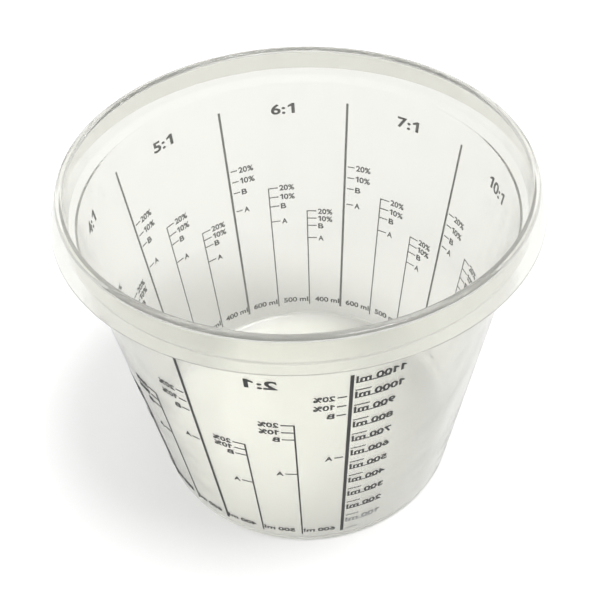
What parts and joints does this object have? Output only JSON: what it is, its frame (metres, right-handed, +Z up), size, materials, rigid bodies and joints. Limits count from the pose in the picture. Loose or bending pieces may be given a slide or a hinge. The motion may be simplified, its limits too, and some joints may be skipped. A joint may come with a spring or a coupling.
{
  "type": "resin mixing cup",
  "caption": "Clear tapered plastic cup for measuring and mixing resin, with a skirted rim and printed mixing-ratio and volume scales read from inside.",
  "frame": {"origin": "middle of the face that the cup stands on", "axes": "+Z up along the cup's axis; -Y towards the side where the volume scale is printed"},
  "size_m": [0.15, 0.15, 0.1215],
  "materials": {
    "polypropylene": "natural translucent polypropylene, moulded smooth",
    "black_ink": "screen-printed black ink, satin"
  },
  "bodies": {
    "root": {"cup_body": "polypropylene", "mix_2_to_1_600_ml": "black_ink", "mix_2_to_1_500_ml": "black_ink", "mix_2_to_1_400_ml": "black_ink", "mix_3_to_1_600_ml": "black_ink", "mix_3_to_1_500_ml": "black_ink", "mix_3_to_1_400_ml": "black_ink", "mix_4_to_1_600_ml": "black_ink", "mix_4_to_1_500_ml": "black_ink", "mix_4_to_1_400_ml": "black_ink", "mix_5_to_1_600_ml": "black_ink", "mix_5_to_1_500_ml": "black_ink", "mix_5_to_1_400_ml": "black_ink", "mix_6_to_1_600_ml": "black_ink", "mix_6_to_1_500_ml": "black_ink", "mix_6_to_1_400_ml": "black_ink", "mix_7_to_1_600_ml": "black_ink", "mix_7_to_1_500_ml": "black_ink", "mix_7_to_1_400_ml": "black_ink", "mix_10_to_1_600_ml": "black_ink", "mix_10_to_1_500_ml": "black_ink", "mix_10_to_1_400_ml": "black_ink", "volume_scale": "black_ink"}
  },
  "joints": []
}
